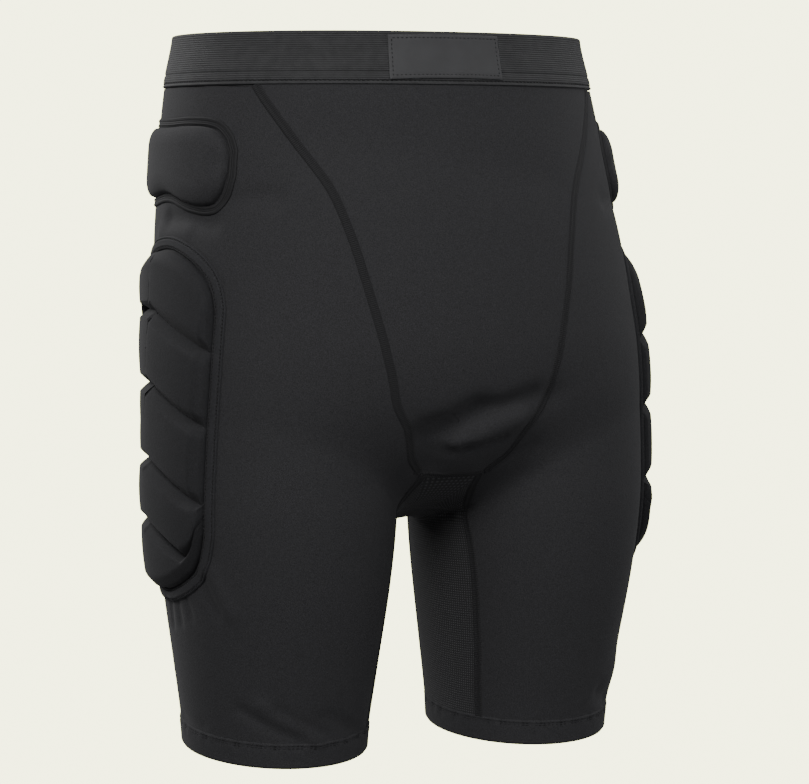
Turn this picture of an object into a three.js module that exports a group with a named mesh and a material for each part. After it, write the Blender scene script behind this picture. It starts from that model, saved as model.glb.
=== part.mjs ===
// Padded crash shorts, as worn: stretch shorts with a ribbed elastic waistband, a foam
// hip guard on each thigh and a softer foam side pad above it.
// Millimetres. +X is the wearer's left, -Y the front, +Z up. The origin is the centre
// of the waist opening, level with the rim of the waistband at the sides.
import * as THREE from "three";

// Driving sizes of the body that the cloth is stretched over
const rise = 325; // waist rim down to the crotch
const inseam = 151; // crotch down to the hem
const waistHalfWidth = 143;
const waistHalfDepth = 110;
const hipHalfWidth = 173;
const hipHalfDepth = 131;
const thighHalfWidth = 79;
const thighHalfDepth = 90;
const hemHalfWidth = 62;
const hemHalfDepth = 63.5;
const hipAdvance = 26; // hip section's centre in front of the waist's
const thighAdvance = 37;
const hemAdvance = 30;
const thighSpread = 94.5; // thigh's centre out from the middle plane
const hemSpread = 92.5;
const trunkSquareness = 2.12; // 2 is an ellipse
const groinBlend = 26; // how softly trunk and thighs flow together
const hemTilt = 0.1; // the hems are lower at the front, as a slope

// Cloth, elastic and foam
const clothWall = 1.6;
const meshWall = 1.2;
const elasticWall = 2.5;
const elasticProud = 0.9; // elastic's face out from the cloth's face
const hemWall = 2.4;
const hemProud = 0.7;
const waistbandHeight = 35;
const hemHeight = 17.5;
const seamWidth = 6; // flatlock bands of thread
const seamProud = 0.45;
const seamGap = 0.36; // between pieces that are sewn edge to edge
const layerGap = 1; // between a piece and the one it lies on, whose facets differ
const labelWidth = 80;
const labelShift = -6; // towards the wearer's right
const labelWall = 1.1;

// Hip pad, measured over its border. Angles are round the thigh's axis.
const hipPadTop = 134;
const hipPadBottom = 375;
const hipPadAngle = -4; // middle of its width
const hipPadHalfAngle = 47;
const hipPadLean = -0.03; // degrees towards the back for each millimetre down
const hipPadRise = 9;
const hipPadCrease = -0.04; // share of the half width where the chevrons meet
const chevronDrop = 25; // from the crease down to the front edge
const channelDepth = 0.52; // share of the pad's rise
const borderWidth = 8.5;
const borderWall = 2;
const padGap = 0.4;

// Side pad, above the hip pad
const sidePadTop = 57;
const sidePadBottom = 117;
const sidePadAngle = -4;
const sidePadHalfAngle = 46;
const sidePadRise = 6.2;

const outseam = rise + inseam;
const degree = Math.PI / 180;

// Trunk sections. drop: share of the rise. fill: 0 is the waist's size, 1 the hip's.
// wide, front, back: the share of that size that is left as the trunk closes at the crotch.
const trunkRows = [
  { drop: -0.15, fill: -0.08, wide: 1, front: 1, back: 1 },
  { drop: 0.0, fill: 0.0, wide: 1, front: 1, back: 1 },
  { drop: 0.11, fill: 0.26, wide: 1, front: 1, back: 1 },
  { drop: 0.22, fill: 0.45, wide: 1, front: 1, back: 1 },
  { drop: 0.32, fill: 0.58, wide: 1, front: 1, back: 1.02 },
  { drop: 0.43, fill: 0.68, wide: 1, front: 1, back: 1.06 },
  { drop: 0.55, fill: 0.75, wide: 0.98, front: 1, back: 1.1 },
  { drop: 0.68, fill: 0.86, wide: 0.935, front: 0.98, back: 1.06 },
  { drop: 0.78, fill: 0.96, wide: 0.84, front: 0.9, back: 0.94 },
  { drop: 0.87, fill: 1, wide: 0.58, front: 0.74, back: 0.7 },
  { drop: 0.94, fill: 1, wide: 0.32, front: 0.48, back: 0.42 },
  { drop: 1.0, fill: 1, wide: 0.1, front: 0.14, back: 0.14 },
  { drop: 1.06, fill: 1, wide: 0.02, front: 0.02, back: 0.02 },
  { drop: 1.7, fill: 1, wide: 0.01, front: 0.01, back: 0.01 },
];

// Thigh sections. drop: share of the outseam. fill: 0 is the hem's size, 1 the thigh's.
// girth: the share of that size that is left as the thigh runs up inside the trunk.
// out: share of the spread, as the thigh's axis leans in to the waist.
const thighRows = [
  { drop: -0.15, fill: 1, girth: 0.5, out: 0.5 },
  { drop: 0.1, fill: 1, girth: 0.66, out: 0.62 },
  { drop: 0.25, fill: 1, girth: 0.82, out: 0.8 },
  { drop: 0.38, fill: 1, girth: 0.92, out: 0.93 },
  { drop: 0.5, fill: 1, girth: 0.98, out: 0.99 },
  { drop: 0.6, fill: 1, girth: 1, out: 1 },
  { drop: 0.67, fill: 0.98, girth: 1, out: 1 },
  { drop: 0.76, fill: 0.78, girth: 1, out: 1 },
  { drop: 0.88, fill: 0.36, girth: 1, out: 1 },
  { drop: 0.96, fill: 0.08, girth: 1, out: 1 },
  { drop: 1.0, fill: 0.0, girth: 1, out: 1 },
  { drop: 1.1, fill: -0.1, girth: 1, out: 1 },
];

// The front seams, down to the crotch. drop: share of the rise. angle: degrees round
// the thigh's axis, 0 out to the side, 90 to the front, 180 to the other thigh.
const frontSeamRows = [
  { drop: 0.0, angle: 34 },
  { drop: 0.11, angle: 47 },
  { drop: 0.2, angle: 61 },
  { drop: 0.31, angle: 79 },
  { drop: 0.4, angle: 88 },
  { drop: 0.5, angle: 95.5 },
  { drop: 0.59, angle: 101.5 },
  { drop: 0.66, angle: 105.5 },
  { drop: 0.74, angle: 111 },
  { drop: 0.8, angle: 117.5 },
  { drop: 0.85, angle: 124 },
  { drop: 0.885, angle: 132 },
];

// The mesh gusset's seams, crotch to hem. drop: share of the outseam.
const gussetRows = [
  { drop: 0.6, front: 137, back: 221 },
  { drop: 0.63, front: 145, back: 214 },
  { drop: 0.655, front: 147, back: 210 },
  { drop: 0.69, front: 145.5, back: 209 },
  { drop: 0.76, front: 142.5, back: 210 },
  { drop: 0.86, front: 141.5, back: 211 },
  { drop: 0.94, front: 142, back: 211 },
  { drop: 1.0, front: 141, back: 211 },
];

// Outline of a pad, as shares: how far the top and the bottom edge come in at each
// place across its width, from the back edge (-1) to the front edge (1).
const hipPadEdgeRows = [
  { across: -1, top: 0.21, bottom: 0.2 },
  { across: -0.92, top: 0.125, bottom: 0.115 },
  { across: -0.75, top: 0.07, bottom: 0.055 },
  { across: -0.45, top: 0.03, bottom: 0.012 },
  { across: -0.1, top: 0.004, bottom: 0.0 },
  { across: 0.25, top: 0.0, bottom: 0.004 },
  { across: 0.55, top: 0.024, bottom: 0.028 },
  { across: 0.78, top: 0.062, bottom: 0.062 },
  { across: 0.93, top: 0.11, bottom: 0.11 },
  { across: 1, top: 0.17, bottom: 0.19 },
];
const sidePadEdgeRows = [
  { across: -1, top: 0.3, bottom: 0.35 },
  { across: -0.94, top: 0.14, bottom: 0.16 },
  { across: -0.8, top: 0.03, bottom: 0.05 },
  { across: -0.4, top: -0.02, bottom: 0.04 },
  { across: 0.1, top: -0.02, bottom: 0.09 },
  { across: 0.5, top: -0.03, bottom: -0.02 },
  { across: 0.8, top: 0.01, bottom: -0.03 },
  { across: 0.94, top: 0.14, bottom: 0.12 },
  { across: 1, top: 0.3, bottom: 0.32 },
];

// Folds of the cloth, as ridges (rise above 0) and creases between two places on it.
// Heights are shares of the outseam; across and ahead are in millimetres.
const foldRows = [
  { x1: -6, y1: -118, z1: 0.553, x2: 62, y2: -136, z2: 0.497, wide: 10, rise: -2.4 },
  { x1: 24, y1: -116, z1: 0.59, x2: 52, y2: -126, z2: 0.572, wide: 9, rise: -1.8 },
  { x1: -86, y1: -96, z1: 0.94, x2: -52, y2: -84, z2: 0.976, wide: 6, rise: -1.5 },
  { x1: -146, y1: -80, z1: 0.765, x2: -140, y2: -84, z2: 0.825, wide: 6, rise: -1.6 },
  { x1: -120, y1: -96, z1: 0.225, x2: -146, y2: -62, z2: 0.235, wide: 8, rise: -1.6 },
  { x1: 120, y1: -92, z1: 0.235, x2: 146, y2: -58, z2: 0.24, wide: 8, rise: -1.6 },
];

// A smooth curve through one column of a table.
function column(rows, key, along = "drop") {
  const places = Float64Array.from(rows, (row) => row[along]);
  const values = Float64Array.from(rows, (row) => row[key]);
  const curve = new THREE.CubicInterpolant(places, values, 1, new Float64Array(1));
  return (place) => curve.evaluate(place)[0];
}
const lerp = THREE.MathUtils.lerp;

const trunkFill = column(trunkRows, "fill");
const trunkWide = column(trunkRows, "wide");
const trunkFront = column(trunkRows, "front");
const trunkBack = column(trunkRows, "back");
const thighFill = column(thighRows, "fill");
const thighGirth = column(thighRows, "girth");
const thighOut = column(thighRows, "out");
const frontSeamAngle = column(frontSeamRows, "angle");
const gussetFrontAngle = column(gussetRows, "front");
const gussetBackAngle = column(gussetRows, "back");

// Distance to an oval, near enough to its edge: below 0 inside.
function ovalDistance(x, y, halfWidth, halfDepth, power) {
  const reach = (Math.abs(x) / halfWidth) ** power + (Math.abs(y) / halfDepth) ** power;
  return (reach ** (1 / power) - 1) * Math.min(halfWidth, halfDepth);
}

function softMin(a, b, width) {
  const near = Math.max(width - Math.abs(a - b), 0) / width;
  return Math.min(a, b) - (near * near * width) / 4;
}

// Where the thigh's axis passes, and how big the thigh is there.
function thighAt(drop) {
  const share = drop / outseam;
  const fill = thighFill(share);
  const girth = thighGirth(share);
  const upper = THREE.MathUtils.smoothstep(share, 0.02, 0.5);
  const advance = lerp(hemAdvance, thighAdvance, fill);
  return {
    x: lerp(hemSpread, thighSpread, fill) * thighOut(share),
    y: -advance * upper,
    halfWidth: lerp(hemHalfWidth, thighHalfWidth, fill) * girth,
    halfDepth: lerp(hemHalfDepth, thighHalfDepth, fill) * girth,
  };
}

function trunkDistance(x, y, drop) {
  const share = drop / rise;
  const fill = trunkFill(share);
  const centre = -hipAdvance * THREE.MathUtils.smoothstep(share, 0.0, 0.65);
  const halfWidth = lerp(waistHalfWidth, hipHalfWidth, fill) * Math.max(trunkWide(share), 0.01);
  const halfDepth = lerp(waistHalfDepth, hipHalfDepth, fill);
  const left = y < centre ? trunkFront(share) : trunkBack(share);
  const past = Math.max(share - 0.98, 0) * rise; // the trunk ends at the crotch
  return ovalDistance(x, y - centre, halfWidth, halfDepth * Math.max(left, 0.01), trunkSquareness) + past;
}

// Levels are flat at the waist and tilt more and more towards the hems.
function dropOf(y, z) {
  const low = THREE.MathUtils.smoothstep(-z / outseam, 0.55, 1);
  return -z + hemTilt * (y + hemAdvance) * low;
}

function heightOf(y, drop) {
  let z = -drop;
  for (let step = 0; step < 5; step++) z += dropOf(y, z) - drop;
  return z;
}

const foldLines = foldRows.map((row) => ({
  line: new THREE.Line3(
    new THREE.Vector3(row.x1, row.y1, -row.z1 * outseam),
    new THREE.Vector3(row.x2, row.y2, -row.z2 * outseam),
  ),
  wide: row.wide,
  rise: row.rise,
}));
const nearest = new THREE.Vector3();

function foldRise(x, y, z) {
  const p = new THREE.Vector3(x, y, z);
  let rise = 0;
  for (const fold of foldLines) {
    const away = fold.line.closestPointToPoint(p, true, nearest).distanceTo(p) / fold.wide;
    if (away < 3) rise += fold.rise * Math.exp(-away * away);
  }
  return rise;
}

// Distance from the cloth's face at any place: below 0 inside it.
function faceDistance(x, y, z) {
  const drop = dropOf(y, z);
  const thigh = thighAt(drop);
  const side = Math.abs(x);
  const thighs = ovalDistance(side - thigh.x, y - thigh.y, thigh.halfWidth, thigh.halfDepth, 2);
  return softMin(trunkDistance(x, y, drop), thighs, groinBlend) - foldRise(x, y, z);
}

function faceSlope(p) {
  const e = 0.5;
  return new THREE.Vector3(
    faceDistance(p.x + e, p.y, p.z) - faceDistance(p.x - e, p.y, p.z),
    faceDistance(p.x, p.y + e, p.z) - faceDistance(p.x, p.y - e, p.z),
    faceDistance(p.x, p.y, p.z + e) - faceDistance(p.x, p.y, p.z - e),
  ).divideScalar(2 * e);
}

// Moves a place straight onto the cloth's face.
function settle(place) {
  const p = place.clone();
  for (let step = 0; step < 10; step++) {
    const slope = faceSlope(p);
    p.addScaledVector(slope, -faceDistance(p.x, p.y, p.z) / Math.max(slope.lengthSq(), 0.1));
  }
  return p;
}

// A place on the face, seen from an upright axis: degrees, 0 towards +X, 90 to the front.
function fromAxis(axisX, axisY, angle, drop) {
  const dx = Math.cos(angle * degree);
  const dy = -Math.sin(angle * degree);
  let inside = 0;
  let outside = axisX > 1 && dx < 0 ? Math.min(axisX / -dx, 300) : 300;
  for (let step = 0; step < 30; step++) {
    const middle = (inside + outside) / 2;
    const y = axisY + dy * middle;
    if (faceDistance(axisX + dx * middle, y, heightOf(y, drop)) < 0) inside = middle;
    else outside = middle;
  }
  const y = axisY + dy * inside;
  return new THREE.Vector3(axisX + dx * inside, y, heightOf(y, drop));
}

function onThigh(angle, drop) {
  const axis = thighAt(drop);
  return fromAxis(axis.x, axis.y, angle, drop);
}

const onMiddle = (drop, front) => fromAxis(0, -hipAdvance * 0.6, front ? 90 : -90, drop);

function angleOf(p) {
  const axis = thighAt(dropOf(p.y, p.z));
  const angle = Math.atan2(-(p.y - axis.y), p.x - axis.x) / degree;
  return angle;
}

const mirrored = (p) => new THREE.Vector3(-p.x, p.y, p.z);

// Moves a line of places sideways over the face; its first and last drops are kept.
function beside(line, distance, closed = false, corner = -1) {
  const count = line.length;
  return line.map((p, i) => {
    const before = line[closed ? (i + count - 1) % count : Math.max(i - 1, 0)];
    const after = line[closed ? (i + 1) % count : Math.min(i + 1, count - 1)];
    const along = after.clone().sub(before);
    const side = along.cross(faceSlope(p)).normalize();
    const mitre = corner < 0 ? 1 : 1 + 0.9 / (1 + 2 * Math.abs(i - corner)) ** 1.2;
    const moved = settle(p.clone().addScaledVector(side, distance * mitre));
    if (closed || (i > 0 && i < count - 1)) return moved;
    const run = after.clone().sub(before);
    return settle(moved.addScaledVector(run, (p.z - moved.z) / run.z));
  });
}

// A closed sheet between two heights over the face. grid: rows of places.
function sheet(grid, inner, outer, closed = false) {
  const rows = grid.length;
  const columns = grid[0].length;
  const position = [];
  for (const height of [outer, inner]) {
    for (let r = 0; r < rows; r++) {
      for (let c = 0; c < columns; c++) {
        const p = grid[r][c];
        const lift = typeof height === "function" ? height(r, c) : height;
        const q = p.clone().addScaledVector(faceSlope(p).normalize(), lift);
        position.push(q.x, q.y, q.z);
      }
    }
  }
  const index = [];
  const back = rows * columns;
  const quad = (a, b, c, d) => index.push(a, b, c, a, c, d);
  const last = closed ? columns : columns - 1;
  for (let r = 0; r < rows - 1; r++) {
    for (let c = 0; c < last; c++) {
      const next = (c + 1) % columns;
      const a = r * columns + c;
      const b = r * columns + next;
      const d = (r + 1) * columns + c;
      const e = (r + 1) * columns + next;
      quad(a, d, e, b);
      quad(back + a, back + b, back + e, back + d);
      if (r === 0) quad(a, b, back + b, back + a);
      if (r === rows - 2) quad(e, d, back + d, back + e);
    }
    if (!closed) {
      const a = r * columns;
      const d = (r + 1) * columns;
      quad(d, a, back + a, back + d);
      quad(a + last, d + last, back + d + last, back + a + last);
    }
  }
  const geometry = new THREE.BufferGeometry();
  geometry.setAttribute("position", new THREE.Float32BufferAttribute(position, 3));
  geometry.setIndex(index);
  if (volumeOf(geometry) < 0) {
    for (let i = 0; i < index.length; i += 3) [index[i], index[i + 1]] = [index[i + 1], index[i]];
    geometry.setIndex(index);
  }
  geometry.computeVertexNormals();
  return geometry;
}

function volumeOf(geometry) {
  const at = geometry.getAttribute("position");
  const index = geometry.index;
  let volume = 0;
  const corner = (i) => new THREE.Vector3().fromBufferAttribute(at, index.getX(i));
  for (let i = 0; i < index.count; i += 3) {
    volume += corner(i).dot(corner(i + 1).cross(corner(i + 2)));
  }
  return volume;
}

const shorts = new THREE.Group();
shorts.name = "padded_shorts";

const looks = {
  cloth: { color: 0x262728, roughness: 0.9 },
  mesh: { color: 0x2b2c2d, roughness: 0.95 },
  elastic: { color: 0x343536, roughness: 0.85 },
  label: { color: 0x3c3e40, roughness: 0.6 },
  thread: { color: 0x1b1c1d, roughness: 0.9 },
  foam: { color: 0x212224, roughness: 0.88 },
};

function add(name, look, geometry) {
  const mesh = new THREE.Mesh(geometry, new THREE.MeshStandardMaterial(looks[look]));
  mesh.name = name;
  mesh.material.name = `${look}_${name}`;
  shorts.add(mesh);
}

// The same piece for each side of the wearer.
function addPair(name, look, grid, inner, outer, closed = false) {
  add(`left_${name}`, look, sheet(grid, inner, outer, closed));
  const other = grid.map((row) => row.map((p) => settle(mirrored(p))));
  add(`right_${name}`, look, sheet(other, inner, outer, closed));
}

function steps(from, to, count) {
  return Array.from({ length: count + 1 }, (_, i) => lerp(from, to, i / count));
}

// Seam lines on the wearer's left, from the waistband to the hem.
const clothTop = waistbandHeight + seamGap;
const clothBottom = outseam - hemHeight - 2 * seamGap;
const junctionDrop = frontSeamRows.at(-1).drop * rise;
const crotchBackDrop = 0.93 * rise;
const halfSeam = seamWidth / 2;

function frontLine(drop) {
  if (drop <= junctionDrop) return onThigh(frontSeamAngle(drop / rise), drop);
  return onThigh(gussetFrontAngle(drop / outseam), drop);
}

function backLine(drop) {
  if (drop <= crotchBackDrop) return onMiddle(drop, false);
  return onThigh(gussetBackAngle(drop / outseam), drop);
}

const frontDrops = [...steps(clothTop, rise * 0.8, 12), rise * 0.833, rise * 0.857, rise * 0.876];
const backDrops = [...steps(clothTop, rise * 0.8, 12), rise * 0.83, rise * 0.862, rise * 0.892];
const gussetDrops = [rise * 1.04, ...steps(rise * 1.1, clothBottom, 7)];
const frontSeam = frontDrops.map(frontLine);
const backSeam = backDrops.map(backLine);

// The gusset's own seams turn a corner at the crotch, where its tip meets the others.
const rough = (x, y, z) => settle(new THREE.Vector3(x, y, z));
const gussetFront = [
  rough(21, -112, -junctionDrop - 4),
  rough(23, -97, -rise * 0.937),
  frontLine(rise * 0.98),
  ...gussetDrops.map(frontLine),
];
const gussetBack = [
  rough(5, 32, -crotchBackDrop - 4),
  rough(14, 24, -rise * 0.965),
  onThigh(208, rise * 0.995),
  ...gussetDrops.map((drop) => onThigh(gussetBackAngle(drop / outseam), drop)),
];
const gussetTip = rough(0, -114, -junctionDrop - 4);
const gussetHeel = rough(0, 33.5, -crotchBackDrop - 3);

// Rows of places between two seam lines, turned round the thigh's axis.
function between(fronts, backs, turns, columns) {
  return fronts.map((front, r) => {
    const back = backs[r];
    const from = angleOf(front);
    const to = angleOf(back) + turns;
    const fromDrop = dropOf(front.y, front.z);
    const toDrop = dropOf(back.y, back.z);
    return steps(0, 1, columns).map((share, c) => {
      if (c === 0) return front;
      if (c === columns) return back;
      return onThigh(lerp(from, to, share), lerp(fromDrop, toDrop, share));
    });
  });
}

// Leg panels, from the front seams round the sides to the back seam
const clearSeam = halfSeam + seamGap;
const panelFront = beside([...frontSeam, ...gussetFront], -clearSeam, false, frontSeam.length);
const panelBack = beside([...backSeam, ...gussetBack], clearSeam, false, backSeam.length);
addPair("leg_panel", "cloth", between(panelFront, panelBack, 0, 15), -clothWall, 0);

// Front panel, narrowing down to the crotch
const halfFront = beside(frontSeam, clearSeam);
const frontGrid = halfFront.map((edge) => {
  const drop = dropOf(edge.y, edge.z);
  const middle = onMiddle(drop, true);
  const half = steps(0, 1, 6).map((share) =>
    share === 1 ? edge : onThigh(lerp(angleOf(middle), angleOf(edge), share), drop),
  );
  half[0] = middle;
  return [...half.slice(1).reverse().map(mirrored), ...half];
});
const panelTip = frontGrid.at(-1).map((p) => rough(p.x * 0.9, -113, -junctionDrop - 4 + clearSeam + 3));
frontGrid.push(panelTip);
add("front_panel", "cloth", sheet(frontGrid, -clothWall, 0));

// Front seams and back seam
addPair("front_seam", "thread", band(frontSeam, halfSeam), -clothWall, seamProud);
add("back_seam", "thread", sheet(band(backSeam, halfSeam), -clothWall, seamProud));

function band(line, half, closed = false) {
  return [beside(line, -half, closed), line, beside(line, half, closed)];
}

// Mesh gusset: up the inside of one thigh, across the crotch and down the other
const overCrotch = (line, middle) => [...[...line].reverse(), middle, ...line.map(mirrored)];
const frontRun = overCrotch(gussetFront, gussetTip);
const backRun = overCrotch(gussetBack, gussetHeel);
const runTurn = gussetFront.length;
const edgeOf = (run, distance) => beside(run, distance, false, runTurn).slice(0, runTurn + 1).reverse();
const [tipEdge, ...gussetEdgeFront] = edgeOf(frontRun, -clearSeam);
const [heelEdge, ...gussetEdgeBack] = edgeOf(backRun, clearSeam);
const low = between(gussetEdgeFront.slice(3), gussetEdgeBack.slice(3), 360, 6);
const crotchRow = (from, to, pinch, sag) =>
  steps(0, 1, 6).map((share) => {
    const belly = Math.sin(share * Math.PI);
    const chord = from.clone().lerp(to, share);
    if (belly < 0.01) return chord;
    return rough(chord.x * (1 - pinch * belly), chord.y, chord.z - sag * belly);
  });
const gussetRowsLeft = [
  crotchRow(gussetEdgeFront[0], gussetEdgeBack[0], 0.55, 26),
  crotchRow(gussetEdgeFront[1], gussetEdgeBack[1], 0.4, 14),
  crotchRow(gussetEdgeFront[2], gussetEdgeBack[2], 0.2, 4),
  ...low,
];
const gussetGrid = [
  ...[...gussetRowsLeft].reverse(),
  crotchRow(tipEdge, heelEdge, 0, 26),
  ...gussetRowsLeft.map((row) => row.map((p) => settle(mirrored(p)))),
];
add("crotch_gusset", "mesh", sheet(gussetGrid, -meshWall, 0));

// Seams round the gusset, each one from hem to hem
add("gusset_front_seam", "thread", sheet(band(frontRun, halfSeam), -clothWall, seamProud));
add("gusset_back_seam", "thread", sheet(band(backRun, halfSeam), -clothWall, seamProud));

// Waistband
const waistRows = [0, 1.2, waistbandHeight - 1.2, waistbandHeight].map((drop) => {
  const half = steps(-90, 90, 18).map((angle) => fromAxis(0, 0, angle, drop));
  half.reverse();
  return [...half, ...half.slice(1, -1).reverse().map(mirrored)];
});
const roundedRim = (proud) => (r) => (r === 0 || r === 3 ? proud - 0.5 : proud);
add("waistband", "elastic", sheet(waistRows, elasticProud - elasticWall, roundedRim(elasticProud), true));

// Bare label patch at the front of the waistband
const labelRows = steps(2.2, waistbandHeight - 2.6, 2).map((drop) =>
  steps(labelShift - labelWidth / 2, labelShift + labelWidth / 2, 10).map((x) => settle(new THREE.Vector3(x, -waistHalfDepth, -drop))),
);
const labelBase = elasticProud + layerGap * 0.7;
add("label_patch", "label", sheet(labelRows, labelBase, labelBase + labelWall));

// Hems
const hemRows = [outseam - hemHeight, outseam - hemHeight + 1.2, outseam - 1.2, outseam].map((drop) =>
  steps(0, 360, 22).slice(0, -1).map((angle) => onThigh(angle, drop)),
);
addPair("hem", "cloth", hemRows, hemProud - hemWall, roundedRim(hemProud), true);

// A pad's outline. across: -1 at the back edge, 1 at the front. down: 0 top, 1 bottom.
// inset: millimetres in from the outline.
function padEnds(pad) {
  const topEdge = column(pad.edges, "top", "across");
  const bottomEdge = column(pad.edges, "bottom", "across");
  const height = pad.bottom - pad.top;
  return (across, inset) => {
    const top = pad.top + topEdge(across) * height + inset;
    return [top, pad.bottom - bottomEdge(across) * height - inset];
  };
}

function padOutline(pad) {
  const ends = padEnds(pad);
  return (across, down, inset) => {
    const [top, bottom] = ends(across, inset);
    const drop = lerp(top, bottom, down);
    const halfAngle = pad.halfAngle - inset / (thighHalfDepth * degree);
    return onThigh(pad.angle + pad.lean * (drop - pad.top) + across * halfAngle, drop);
  };
}

// The outline as a loop, with an even count of places along each side.
function padLoop(outline, inset, acrossPlaces, sideCount) {
  const downs = steps(0, 1, sideCount).slice(1, -1);
  return [
    ...acrossPlaces.map((across) => outline(across, 0, inset)),
    ...downs.map((down) => outline(1, down, inset)),
    ...[...acrossPlaces].reverse().map((across) => outline(across, 1, inset)),
    ...[...downs].reverse().map((down) => outline(-1, down, inset)),
  ];
}

const padAcross = [-1, -0.93, -0.78, -0.56, -0.3, hipPadCrease, 0.16, 0.36, 0.56, 0.78, 0.93, 1];

// Hip pads: five raised segments, with a channel between each two
const hipPad = {
  top: hipPadTop,
  bottom: hipPadBottom,
  angle: hipPadAngle,
  halfAngle: hipPadHalfAngle,
  lean: hipPadLean,
  edges: hipPadEdgeRows,
};
const hipPadEnds = padEnds(hipPad);
const hipPadOutline = padOutline(hipPad);
// down: share of the pad where each row starts at the crease; low: 1 in a channel.
const channelDowns = [0.178, 0.395, 0.618, 0.8];
const besideChannel = 0.022;
const hipPadRows = [
  { down: 0.0, low: 0 },
  { down: 0.035, low: 0 },
  { down: 0.1, low: 0 },
];
channelDowns.forEach((down, i) => {
  hipPadRows.push({ down: down - besideChannel, low: 0 });
  hipPadRows.push({ down, low: 1 });
  hipPadRows.push({ down: down + besideChannel, low: 0 });
  if (i < 3) hipPadRows.push({ down: lerp(down, channelDowns[i + 1], 0.5), low: 0 });
});
hipPadRows.push({ down: 0.9, low: 0 }, { down: 0.965, low: 0 }, { down: 1.0, low: 0 });

// Each channel runs straight, level behind the crease and down to the front before it,
// and stays clear of the pad's rounded ends.
function chevron(across, down) {
  const reach = Math.max(across - hipPadCrease, 0) / (1 - hipPadCrease);
  const inset = borderWidth + padGap;
  const [creaseTop, creaseBottom] = hipPadEnds(hipPadCrease, inset);
  const [top, bottom] = hipPadEnds(across, inset);
  const marks = [0, ...channelDowns, 1];
  const places = marks.map((mark, i) => {
    if (mark === 0 || mark === 1) return mark;
    const drop = lerp(creaseTop, creaseBottom, mark) + chevronDrop * reach;
    const share = (drop - top) / (bottom - top);
    return THREE.MathUtils.clamp(share, 0.07 * i, 1 - 0.06 * (marks.length - 1 - i));
  });
  const next = Math.max(marks.findIndex((mark) => mark >= down), 1);
  const within = (down - marks[next - 1]) / (marks[next] - marks[next - 1]);
  return lerp(places[next - 1], places[next], within);
}

const hipPadGrid = hipPadRows.map((row) =>
  padAcross.map((across) => hipPadOutline(across, chevron(across, row.down), borderWidth + padGap)),
);

function padHeight(rows, rise, depth) {
  return (r, c) => {
    const side = Math.min(c, padAcross.length - 1 - c);
    const end = Math.min(r, rows.length - 1 - r);
    const rim = side === 0 || end === 0 ? 0.34 : side === 1 || end === 1 ? 0.86 : 1;
    return layerGap + rise * rim * (1 - depth * rows[r].low);
  };
}
addPair("hip_pad", "foam", hipPadGrid, layerGap, padHeight(hipPadRows, hipPadRise, channelDepth));

const borderRings = [0, borderWidth / 2, borderWidth].map((inset) => padLoop(hipPadOutline, inset, padAcross, 11));
const borderHeight = (r) => layerGap + borderWall * (r === 0 ? 0.55 : 1);
addPair("hip_pad_border", "foam", borderRings, layerGap, borderHeight, true);

// Side pads, with the flatlock band that holds each one down
const sidePadOutline = padOutline({
  top: sidePadTop,
  bottom: sidePadBottom,
  angle: sidePadAngle,
  halfAngle: sidePadHalfAngle,
  lean: 0.02,
  edges: sidePadEdgeRows,
});
const sidePadRows = [0, 0.1, 0.3, 0.5, 0.7, 0.9, 1].map((down) => ({ down, low: 0 }));
const sideGrid = sidePadRows.map((row) =>
  padAcross.map((across) => sidePadOutline(across, row.down, seamWidth + padGap)),
);
addPair("side_pad", "cloth", sideGrid, layerGap, padHeight(sidePadRows, sidePadRise, 0));
const sideRings = [0, seamWidth].map((inset) => padLoop(sidePadOutline, inset, padAcross, 6));
addPair("side_pad_seam", "thread", sideRings, layerGap, layerGap + 1.1, true);

export default shorts;
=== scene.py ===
# Padded crash shorts as worn: stretch shorts with a ribbed elastic waistband, a foam
# hip pad on each thigh, a thinner pad above it and a mesh panel between the legs.
# Metres. +X is the wearer's left, -Y the front, +Z up, and 0 is the waist opening.
import math

import bpy
import numpy as np
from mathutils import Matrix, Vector


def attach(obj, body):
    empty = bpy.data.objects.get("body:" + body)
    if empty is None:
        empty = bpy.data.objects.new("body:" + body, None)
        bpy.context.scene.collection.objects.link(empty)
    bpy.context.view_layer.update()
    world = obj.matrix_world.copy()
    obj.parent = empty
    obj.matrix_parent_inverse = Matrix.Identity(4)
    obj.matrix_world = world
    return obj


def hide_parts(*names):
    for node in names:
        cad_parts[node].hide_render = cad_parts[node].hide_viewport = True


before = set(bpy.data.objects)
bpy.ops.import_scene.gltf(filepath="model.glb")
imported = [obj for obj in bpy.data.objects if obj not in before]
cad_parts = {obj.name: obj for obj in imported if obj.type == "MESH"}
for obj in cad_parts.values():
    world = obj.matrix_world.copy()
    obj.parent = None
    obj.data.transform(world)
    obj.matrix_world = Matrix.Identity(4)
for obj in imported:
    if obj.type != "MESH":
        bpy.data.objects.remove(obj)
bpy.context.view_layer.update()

# Studio: a camera a little above the hips, at the wearer's right front, and soft light
# from four large panels round the shorts, under a pale sky.
IMAGE_WIDTH = 809
LENS_PIXELS = 2880
SENSOR = 36
CAMERA_AZIMUTH = math.radians(-26)
CAMERA_ELEVATION = math.radians(4.5)
CAMERA_DISTANCE = 2.0
LOOK_AT = Vector((0, 0, -0.246))
IMAGE_SHIFT = (26.5, 3.0)

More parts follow.
